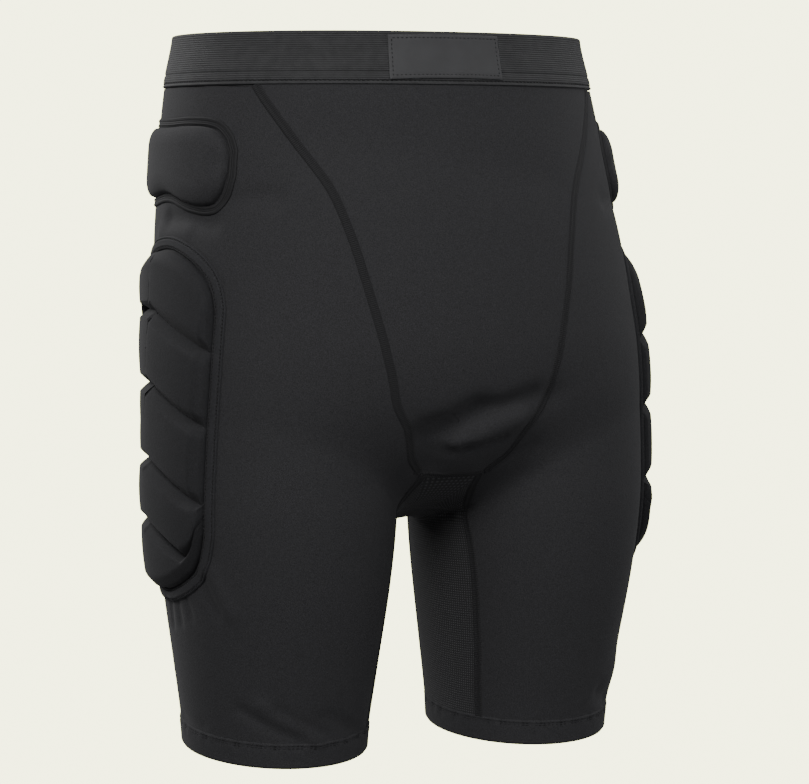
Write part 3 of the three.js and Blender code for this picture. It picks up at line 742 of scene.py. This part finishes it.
front_run = over_crotch(gusset_front, rough(0, -114, -CROTCH_FRONT_DROP))
back_run = over_crotch(gusset_back, rough(0, 33.5, -CROTCH_BACK_DROP - 3))
edge_front = beside(front_run, -clear_seam)[GUSSET_STEPS::-1]
edge_back = beside(back_run, clear_seam)[GUSSET_STEPS::-1]
gusset_shares = np.linspace(0, 1, 44)
belly = np.sin(gusset_shares * math.pi)
chords = mix(edge_front[:, None], edge_back[:, None], gusset_shares[:, None])
depth = np.linspace(0, 1, len(chords))[:, None]
near_crotch = 1 - smooth(depth, 0.0, SADDLE_SHARE)
chords[..., 0] *= 1 - 0.5 * belly * near_crotch
chords[..., 2] -= SADDLE_SAG * belly * near_crotch
gusset_half = settle(chords, 14)
gusset_half[:, 0], gusset_half[:, -1] = edge_front, edge_back
gusset_half[0, :, 0] = 0
gusset_grid = np.concatenate([gusset_half[:0:-1], settle(gusset_half * MIRROR, 4)])
gusset = laid_piece("gusset_mesh", gusset_grid, -MESH_WALL, 0)
mesh_paint = new_paint("sports_mesh", MESH_COLOUR_WITH_PAINTED_LIGHT, 0.85, 0.03)
rows_of_holes = combine(mesh_paint, "ADD", wave(mesh_paint, "X", MESH_PITCH[0]), 1)
lines_of_holes = combine(mesh_paint, "ADD", wave(mesh_paint, "Y", MESH_PITCH[1]), 1)
dots = combine(mesh_paint, "MULTIPLY", rows_of_holes, lines_of_holes)
dots = combine(mesh_paint, "MULTIPLY", dots, 0.25)
shade(mesh_paint, dots, MESH_RELIEF, dots, MESH_COLOUR_WITH_PAINTED_LIGHT, times(MESH_COLOUR_WITH_PAINTED_LIGHT, 3.2))
dress(gusset, mesh_paint, "mesh", "crotch_gusset")

# Flatlock seams: flat bands of black thread, 6 mm wide, that join the panels edge to
# edge. Each one has a needle line along both sides and a ladder of thread between.
SEAM_COLOUR = (0.0078, 0.0078, 0.0084)
SEAM_PROUD = 0.65
SEAM_SINK = CLOTH_WALL * 0.8
SEAM_RELIEF = 0.0004
STITCH_PITCH = 0.0013
BAND_ACROSS = np.array([0.0, 0.55, 1.0, 0.75, 0.5, 0.45, 0.5, 0.75, 1.0, 0.55, 0.0])
BAND_OFFSETS = np.linspace(-SEAM_WIDTH / 2, SEAM_WIDTH / 2, len(BAND_ACROSS))

flatlock_paint = new_paint("flatlock_thread", SEAM_COLOUR, 0.8, 0.02)
# The ladder's wave paints shade between its rungs and highlight on them.
rungs = combine(flatlock_paint, "ABSOLUTE", wave(flatlock_paint, "Y", STITCH_PITCH * 2), 0)
ladder_relief_and_shade = combine(flatlock_paint, "POWER", rungs, 0.6)
seam_tones = times(SEAM_COLOUR, 0.45), times(SEAM_COLOUR, 1.6)
shade(flatlock_paint, ladder_relief_and_shade, SEAM_RELIEF, ladder_relief_and_shade, *seam_tones)


def flatlock(name, line, node):
    grid = np.stack([beside(line, d) for d in BAND_OFFSETS], 1)
    height = np.tile(BAND_ACROSS * SEAM_PROUD, (len(line), 1))
    seam = laid_piece(name, grid, -SEAM_SINK, height)
    dress(seam, flatlock_paint, "thread", node)


flatlock("left_front_flatlock", front_seam_line, "left_front_seam")
flatlock("right_front_flatlock", settle(front_seam_line * MIRROR, 4), "right_front_seam")
flatlock("back_flatlock", back_seam_line, "back_seam")
flatlock("gusset_front_flatlock", spaced(front_run, 240), "gusset_front_seam")
flatlock("gusset_back_flatlock", spaced(back_run, 240), "gusset_back_seam")

# Waistband: ribbed elastic, 35 mm high and turned at the rim. Under a fine groove it runs
# plain, and a row of stitches sunk in a deeper groove joins it to the panels.
ELASTIC_WALL = 2.5
ELASTIC_PROUD = 0.9
ELASTIC_COLOUR = (0.0255, 0.0258, 0.0268)
ELASTIC_RELIEF = 0.0002
RIB_PITCH = 0.00145
CORD_PITCH = 0.0009
RIM_DROP = 3
PLAIN_DROP = 24
GROOVE_DROP = 32.4

# drop and proud in millimetres, from the rim down.
BAND_PROFILE = [
    dict(drop=0.0, proud=-0.9),
    dict(drop=0.4, proud=-0.1),
    dict(drop=1.4, proud=0.35),
    dict(drop=3.0, proud=0.3),
    dict(drop=12.0, proud=0.35),
    dict(drop=25.6, proud=0.3),
    dict(drop=26.3, proud=-0.1),
    dict(drop=26.9, proud=-0.1),
    dict(drop=27.5, proud=0.2),
    dict(drop=31.4, proud=0.2),
    dict(drop=32.2, proud=-0.2),
    dict(drop=32.9, proud=-0.35),
    dict(drop=33.4, proud=-0.1),
    dict(drop=34.0, proud=0.3),
    dict(drop=34.6, proud=0.0),
    dict(drop=35.0, proud=-0.9),
]
band_proud = curve_of(BAND_PROFILE, "proud")
band_drops = np.concatenate(
    [
        np.linspace(0, RIM_DROP, 8)[:-1],
        np.linspace(RIM_DROP, PLAIN_DROP, 10)[:-1],
        np.linspace(PLAIN_DROP, WAISTBAND_HEIGHT, 46),
    ]
)


def waist_ring(drops, columns=160):
    """Rows round the whole waist, from the front middle by the wearer's left."""
    angle = np.linspace(90, -90, columns + 1)
    half = from_axis(0, 0, angle[None, :], drops[:, None])
    other = settle(half[:, -2:0:-1] * MIRROR, 4)
    return np.concatenate([half, other], axis=1)


waist_grid = waist_ring(band_drops)
band_inside = ELASTIC_PROUD - ELASTIC_WALL
band_height = (ELASTIC_PROUD + band_proud(band_drops))[:, None]
waistband = laid_piece("waistband_elastic", waist_grid, band_inside, band_height, True)
elastic_paint = new_paint("ribbed_elastic", ELASTIC_COLOUR, 0.75, 0.04)
ribs = wave(elastic_paint, "Y", RIB_PITCH)
cords = wave(elastic_paint, "X", CORD_PITCH)
weave = combine(elastic_paint, "ADD", ribs, combine(elastic_paint, "MULTIPLY", cords, 0.35))
# The ribs' wave paints shade in their grooves and highlight on their crests.
painted_rib_shade = combine(elastic_paint, "MULTIPLY", ribs, 0.28)
mottle_and_painted_light = combine(elastic_paint, "ADD", painted_rib_shade, mottle(elastic_paint, 160, 4))
elastic_tones = times(ELASTIC_COLOUR, 0.72), times(ELASTIC_COLOUR, 1.25)
shade(elastic_paint, weave, ELASTIC_RELIEF, mottle_and_painted_light, *elastic_tones)
dress(waistband, elastic_paint, "elastic", "waistband")

# Its stitches, like all later ones, are loops of twisted black thread whose ends dip
# into the cloth. Rings of a loop: place in its length, size and sink, in its radius.
THREAD_COLOUR = (0.0045, 0.0045, 0.005)
THREAD_RELIEF = 0.0001
TWIST_PITCH = 0.0008
LOOP_SIDES = 6
LOOP_RINGS = (
    (-0.5, 0.15, -0.7),
    (-0.36, 0.8, -0.15),
    (0, 1, 0.2),
    (0.36, 0.8, -0.15),
    (0.5, 0.15, -0.7),
)
LOOP_PLACES = LOOP_SIDES * len(LOOP_RINGS)

thread_paint = new_paint("black_thread", THREAD_COLOUR, 0.6, 0.03)
twist = wave(thread_paint, "Y", TWIST_PITCH, "Object")
twist_tones = times(THREAD_COLOUR, 0.8), times(THREAD_COLOUR, 1.6)
shade(thread_paint, twist, THREAD_RELIEF, mottle(thread_paint, 500), *twist_tones)


def stitch_row(line, lift, pitch, length, radius):
    """Places, runs and normals of evenly spaced stitches along a closed line."""
    line = np.concatenate([line, line[:1]])
    run = run_along(line)
    count = max(int(run[-1] / pitch), 1)
    middle = (np.arange(count) + 0.5) * run[-1] / count
    place = [
        np.stack([np.interp(middle + shift, run, line[:, k]) for k in range(3)], 1)
        for shift in (-length / 2, 0, length / 2)
    ]
    along = place[2] - place[0]
    along /= np.linalg.norm(along, axis=1, keepdims=True)
    normal = face_normal(place[1])
    return place[1] + normal * lift, along, normal, length, radius


def stitches(name, rows):
    """Every stitch of some rows as a small sunken loop of thread, in one mesh."""
    turn = np.arange(LOOP_SIDES) * 2 * math.pi / LOOP_SIDES
    points = []
    for centre, along, normal, length, radius in rows:
        side = np.cross(normal, along)
        loops = [
            centre
            + along * at * length
            + side * math.cos(angle) * radius * size
            + normal * (math.sin(angle) * radius * size * 0.8 + sink * radius)
            for at, size, sink in LOOP_RINGS
            for angle in turn
        ]
        points.append(np.stack(loops, 1).reshape(-1, 3))
    points = np.concatenate(points) * MM
    walls = []
    for ring in range(0, LOOP_PLACES - LOOP_SIDES, LOOP_SIDES):
        for k in range(LOOP_SIDES):
            a, b = ring + k, ring + (k + 1) % LOOP_SIDES
            walls.append((a, b, b + LOOP_SIDES, a + LOOP_SIDES))
    starts = np.arange(0, len(points), LOOP_PLACES)
    faces = (np.array(walls) + starts[:, None, None]).reshape(-1, 4).tolist()
    for start in starts.tolist():
        faces.append(list(range(start + LOOP_SIDES - 1, start - 1, -1)))
        end = start + LOOP_PLACES - LOOP_SIDES
        faces.append(list(range(end, end + LOOP_SIDES)))
    mesh = bpy.data.meshes.new(name)
    mesh.from_pydata(points.tolist(), [], faces)
    mesh.polygons.foreach_set("use_smooth", np.ones(len(mesh.polygons), bool))
    piece = bpy.data.objects.new(name, mesh)
    bpy.context.scene.collection.objects.link(piece)
    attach(piece, "root")
    dress(piece, thread_paint, "thread")


groove_line = waist_ring(np.array([GROOVE_DROP]), 120)[0]
waist_row = stitch_row(groove_line, ELASTIC_PROUD - 0.1, pitch=3.1, length=2.4, radius=0.34)
stitches("waistband_stitches", [waist_row])

# Label: a smooth grey patch sewn on at the front of the waistband, left bare, with one
# row of stitches just inside its edge.
LABEL_WIDTH = 80
LABEL_SHIFT = -6
LABEL_TOP, LABEL_BOTTOM = 2.2, 32.4
LABEL_BASE = ELASTIC_PROUD + 0.5
LABEL_WALL = 1.1
LABEL_COLOUR = (0.036, 0.0364, 0.038)
LABEL_INSET = 2.4
LABEL_PITCH = 0.0006
LABEL_RELIEF = 0.00006


def hump(at, middle, wide):
    """1 in the middle, fading out smoothly on both sides."""
    return np.exp(-(((at - middle) / wide) ** 2))


label_x = LABEL_SHIFT + np.linspace(-LABEL_WIDTH / 2, LABEL_WIDTH / 2, 81)
label_drop = np.linspace(LABEL_TOP, LABEL_BOTTOM, 33)
label_x, label_drop = np.meshgrid(label_x, label_drop)
label_grid = settle(np.stack([label_x, 0 * label_x - WAIST_HALF[1], -label_drop], -1))
from_edge = np.minimum(
    LABEL_WIDTH / 2 - np.abs(label_x - LABEL_SHIFT),
    np.minimum(label_drop - LABEL_TOP, LABEL_BOTTOM - label_drop),
)
label_height = LABEL_BASE + LABEL_WALL * (0.45 + 0.55 * smooth(from_edge, 0, 1.4))
label_height -= 0.25 * hump(from_edge, LABEL_INSET, 0.7)
label = laid_piece("label_patch_bare", label_grid, LABEL_BASE - 0.7, label_height)
label_paint = new_paint("label_fabric", LABEL_COLOUR, 0.6, 0.02)
warp, weft = wave(label_paint, "X", LABEL_PITCH), wave(label_paint, "Y", LABEL_PITCH)
label_weave = combine(label_paint, "MULTIPLY", warp, weft)
label_tones = times(LABEL_COLOUR, 0.92), times(LABEL_COLOUR, 1.08)
shade(label_paint, label_weave, LABEL_RELIEF, mottle(label_paint, 90, 4), *label_tones)
dress(label, label_paint, "label", "label_patch")
row_half = LABEL_WIDTH / 2 - LABEL_INSET
left_x, right_x = LABEL_SHIFT - row_half, LABEL_SHIFT + row_half
top_z, bottom_z = -LABEL_TOP - LABEL_INSET, -LABEL_BOTTOM + LABEL_INSET
corners = [
    (left_x, -WAIST_HALF[1], top_z),
    (right_x, -WAIST_HALF[1], top_z),
    (right_x, -WAIST_HALF[1], bottom_z),
    (left_x, -WAIST_HALF[1], bottom_z),
]
edges = [np.linspace(a, b, 24)[:-1] for a, b in zip(corners, corners[1:] + corners[:1])]
label_line = settle(np.concatenate(edges))
label_lift = LABEL_BASE + LABEL_WALL - 0.25
label_row = stitch_row(label_line, label_lift, pitch=2.9, length=1.9, radius=0.4)
stitches("label_stitches", [label_row])

# Hems: the jersey is turned up over itself in a band and coverstitched along its top,
# with the small puckers that the two rows pull into it.
HEM_WALL = 2.4
HEM_PROUD = 0.7
HEM_ROWS = (1.6, 3.4)

hem_top = OUTSEAM - HEM_HEIGHT
hem_angles = np.linspace(0, 360, 181)[:-1]
hem_low = np.linspace(0, HEM_HEIGHT, 28)[:, None]
pucker = 0.22 * np.sin(np.radians(hem_angles * 31))
pucker = pucker + 0.18 * np.sin(np.radians(hem_angles * 47 + 50))
hem_profile = HEM_PROUD - 0.8 * (1 - smooth(hem_low, 0, 1.2))
hem_profile = hem_profile - 0.9 * smooth(hem_low, HEM_HEIGHT - 1.6, HEM_HEIGHT)
hem_profile = hem_profile - 0.3 * hump(hem_low, 2.6, 0.8) + 0.15 * smooth(hem_low, 3, 8)
hem_profile = hem_profile + pucker * hump(hem_low, 3.5, 4.5)
hem_grid = on_thigh(hem_angles, hem_top + hem_low)
hem_lines = [on_thigh(hem_angles, np.full(len(hem_angles), hem_top + low)) for low in HEM_ROWS]
for side, (grid, *lines) in each_side(hem_grid, *hem_lines):
    hem = laid_piece(f"{side}_hem_fold", grid, HEM_PROUD - HEM_WALL, hem_profile, True)
    dress(hem, cloth_paint, "hem_cloth", f"{side}_hem")
    lift = HEM_PROUD - 0.1
    rows = [stitch_row(line, lift, pitch=3, length=2.2, radius=0.3) for line in lines]
    stitches(f"{side}_hem_stitches", rows)

# Side pads: thin foam under a patch of the jersey, held down all round by a flatlock
# band, over the hip bone and round to the back.
PAD_ACROSS = np.linspace(-1, 1, 97)
SIDE_EDGE_ROWS = [
    dict(across=-1, top=0.3, bottom=0.35),
    dict(across=-0.94, top=0.14, bottom=0.16),
    dict(across=-0.8, top=0.03, bottom=0.05),
    dict(across=-0.4, top=-0.02, bottom=0.04),
    dict(across=0.1, top=-0.02, bottom=0.09),
    dict(across=0.5, top=-0.03, bottom=-0.02),
    dict(across=0.8, top=0.01, bottom=-0.03),
    dict(across=0.94, top=0.14, bottom=0.12),
    dict(across=1, top=0.3, bottom=0.32),
]
SIDE_PAD = dict(top=57, bottom=117, angle=-4, half=46, lean=0.02, rise=6.2)
SHOULDER_ACROSS = 15
SHOULDER_DOWN = 13
RING_STEPS = 320


def pad_ends(pad, rows):
    """How far down a pad starts and ends, by its place across."""
    top_edge, bottom_edge = curve_of(rows, "top", "across"), curve_of(rows, "bottom", "across")
    height = pad["bottom"] - pad["top"]

    def ends(across, inset):
        top = pad["top"] + top_edge(across) * height + inset
        return top, pad["bottom"] - bottom_edge(across) * height - inset

    return ends


def pad_outline(pad, rows):
    """A pad's places by across, -1 at the back edge and 1 at the front, and down."""
    ends = pad_ends(pad, rows)

    def place(across, down, inset):
        top, bottom = ends(across, inset)
        drop = mix(top, bottom, down)
        half = pad["half"] - inset / math.radians(THIGH_HALF[1])
        return on_thigh(pad["angle"] + pad["lean"] * (drop - pad["top"]) + across * half, drop)

    return place


def pad_ring(place, inset, down_count):
    """The outline as a closed line, at some millimetres in from the edge."""
    across = np.linspace(-1, 1, 80)
    downs = np.linspace(0, 1, down_count)[1:-1]
    across_all = np.concatenate([across, downs * 0 + 1, across[::-1], downs * 0 - 1])
    down_all = np.concatenate([across * 0, downs, across * 0 + 1, downs[::-1]])
    ring = place(across_all, down_all, inset)
    return spaced(np.concatenate([ring, ring[:1]]), RING_STEPS + 1)[:-1]


def edge_run(grid):
    """How far each place is from its grid's nearest edge, across and down the face."""
    step_c = np.linalg.norm(np.diff(grid, axis=1), axis=-1)
    run_c = np.concatenate([np.zeros((len(grid), 1)), np.cumsum(step_c, 1)], 1)
    step_r = np.linalg.norm(np.diff(grid, axis=0), axis=-1)
    run_r = np.concatenate([np.zeros((1, grid.shape[1])), np.cumsum(step_r, 0)], 0)
    across = np.minimum(run_c, run_c[:, -1:] - run_c)
    down = np.minimum(run_r, run_r[-1:] - run_r)
    return across, down


def dome(distance, shoulder):
    """A round shoulder, from 0 at the edge up to 1."""
    s = np.clip(distance / shoulder, 0, 1)
    return np.sqrt(1 - (1 - s) ** 2)


side_place = pad_outline(SIDE_PAD, SIDE_EDGE_ROWS)
side_down = np.linspace(0, 1, 44)
side_grid = side_place(PAD_ACROSS[None, :], side_down[:, None], SEAM_WIDTH + 0.2)
run_across, run_down = edge_run(side_grid)
side_dome = dome(run_across, SHOULDER_ACROSS) ** 0.9 * dome(run_down, SHOULDER_DOWN) ** 0.9
side_height = 0.7 + SIDE_PAD["rise"] * side_dome
side_ring = pad_ring(side_place, SEAM_WIDTH / 2, 20)
side_seam_height = (0.35 + 0.9 * BAND_ACROSS)[:, None]
for side, (grid, line) in each_side(side_grid, side_ring):
    pad = laid_piece(f"{side}_side_pad_cover", grid, 0.05, side_height)
    dress(pad, cloth_paint, "side_pad", f"{side}_side_pad")
    rings = np.stack([beside(line, d, True) for d in BAND_OFFSETS])
    seam = laid_piece(f"{side}_side_pad_flatlock", rings, 0.02, side_seam_height, True)
    dress(seam, flatlock_paint, "thread", f"{side}_side_pad_seam")

# Hip pads: thick foam under smooth cloth, moulded into five segments by chevron channels
# that meet at a soft crest, inside a flat border that two rows of stitches hold down.
HIP_EDGE_ROWS = [
    dict(across=-1, top=0.21, bottom=0.2),
    dict(across=-0.92, top=0.125, bottom=0.115),
    dict(across=-0.75, top=0.07, bottom=0.055),
    dict(across=-0.45, top=0.03, bottom=0.012),
    dict(across=-0.1, top=0.004, bottom=0.0),
    dict(across=0.25, top=0.0, bottom=0.004),
    dict(across=0.55, top=0.024, bottom=0.028),
    dict(across=0.78, top=0.062, bottom=0.062),
    dict(across=0.93, top=0.11, bottom=0.11),
    dict(across=1, top=0.17, bottom=0.19),
]
HIP_PAD = dict(top=134, bottom=375, angle=-4, half=47, lean=-0.03, rise=9)
PAD_HEIGHT = HIP_PAD["bottom"] - HIP_PAD["top"]
PAD_COLOUR = (0.0112, 0.0113, 0.0125)
PAD_PITCH = 0.0008
PAD_SHOULDER = 8.5
PAD_LIP = 0.42
# Channels as shares of the way down at the crest, with marks at both ends.
CREST = -0.04
CHANNELS = (0.178, 0.395, 0.618, 0.8)
MARKS = np.array((0, *CHANNELS, 1))
CHEVRON_DROP = 25
CHEVRON_SLOPE = math.radians(35)
CHANNEL_HALF = 6.6
CHANNEL_DEPTH = 6.4
LEAST_ABOVE = 0.07
LEAST_BELOW = 0.06
BORDER_WIDTH = 8.5
BORDER_WALL = 2.0
BORDER_BASE = 0.35
BORDER_ROWS = (-2.8, 2.8)


def chamfer(distance, shoulder, lip):
    """Rises at once to the lip's share, then slopes up to the full height."""
    s = np.clip(distance / shoulder, 0, 1)
    return (lip + (1 - lip) * s * (1.3 - 0.3 * s)) * np.clip(distance / 0.8, 0, 1)


def chevron(across, down):
    """Level behind the crest, down to the front before it, clear of the rounded ends."""
    reach = np.maximum(across - CREST, 0) / (1 - CREST)
    top, bottom = hip_ends(across, BORDER_WIDTH + 0.4)
    crest_top, crest_bottom = hip_ends(CREST, BORDER_WIDTH + 0.4)
    places = [np.zeros_like(across)]
    for above, mark in enumerate(CHANNELS, 1):
        below = len(CHANNELS) + 1 - above
        share = (mix(crest_top, crest_bottom, mark) + CHEVRON_DROP * reach - top) / (bottom - top)
        places.append(np.clip(share, LEAST_ABOVE * above, 1 - LEAST_BELOW * below))
    places.append(np.ones_like(across))
    moved = np.zeros_like(across)
    for start, end, before, after in zip(MARKS, MARKS[1:], places, places[1:]):
        moved = moved + (after - before) * np.clip((down - start) / (end - start), 0, 1)
    return moved



hip_ends = pad_ends(HIP_PAD, HIP_EDGE_ROWS)
hip_place = pad_outline(HIP_PAD, HIP_EDGE_ROWS)
downs = np.unique(
    np.concatenate(
        [np.linspace(0, 1, 120)] + [c + np.linspace(-0.03, 0.03, 25) for c in CHANNELS]
    )
)
across, down = np.meshgrid(PAD_ACROSS, downs)
hip_grid = hip_place(across, chevron(across, down), BORDER_WIDTH + 0.3)
run_across, run_down = edge_run(hip_grid)
edge = chamfer(np.minimum(run_across, run_down), PAD_SHOULDER, PAD_LIP)
away = np.min([np.abs(down - c) * PAD_HEIGHT for c in CHANNELS], axis=0)
away = away * np.where(across > CREST, math.cos(CHEVRON_SLOPE), 1.0)
channel = np.maximum(1 - away / CHANNEL_HALF, 0) ** 1.15
segment = np.clip(np.searchsorted(MARKS, downs, side="right") - 1, 0, len(CHANNELS))
within = (downs - MARKS[segment]) / (MARKS[segment + 1] - MARKS[segment])
crown = (1 - (2 * within - 1) ** 2)[:, None]
from_crest = np.abs(across - CREST)
crest = 1.2 * hump(from_crest, 0, 0.3) - smooth(from_crest, 0.15, 1.0)
hip_rise = HIP_PAD["rise"] * edge + (crest + 1.1 * crown - 0.5) * edge ** 2
hip_rise = hip_rise - CHANNEL_DEPTH * channel * edge
pad_paint = knit_paint("pad_cover", PAD_COLOUR, PAD_PITCH)
border_paint = knit_paint("pad_border_cover", times(PAD_COLOUR, 1.3), PAD_PITCH)
hip_ring = pad_ring(hip_place, BORDER_WIDTH / 2, 60)
border_across = np.linspace(-1, 1, 25)
border_height = BORDER_BASE + BORDER_WALL * (1 - 0.75 * np.abs(border_across) ** 6)
border_height -= 0.8 * hump(np.abs(border_across), 0.66, 0.14)
stitch_lift = BORDER_BASE + BORDER_WALL * 0.66
for side, (grid, line) in each_side(hip_grid, hip_ring):
    pad = laid_piece(f"{side}_hip_pad_foam", grid, 0.1, 0.8 + hip_rise)
    dress(pad, pad_paint, "pad", f"{side}_hip_pad")
    rings = np.stack([beside(line, d * BORDER_WIDTH / 2, True) for d in border_across])
    border = laid_piece(f"{side}_hip_pad_edge", rings, 0.02, border_height[:, None], True)
    dress(border, border_paint, "pad_border", f"{side}_hip_pad_border")
    rows = [
        stitch_row(beside(line, d, True), stitch_lift, pitch=2.4, length=1.6, radius=0.42)
        for d in BORDER_ROWS
    ]
    stitches(f"{side}_hip_pad_stitches", rows)
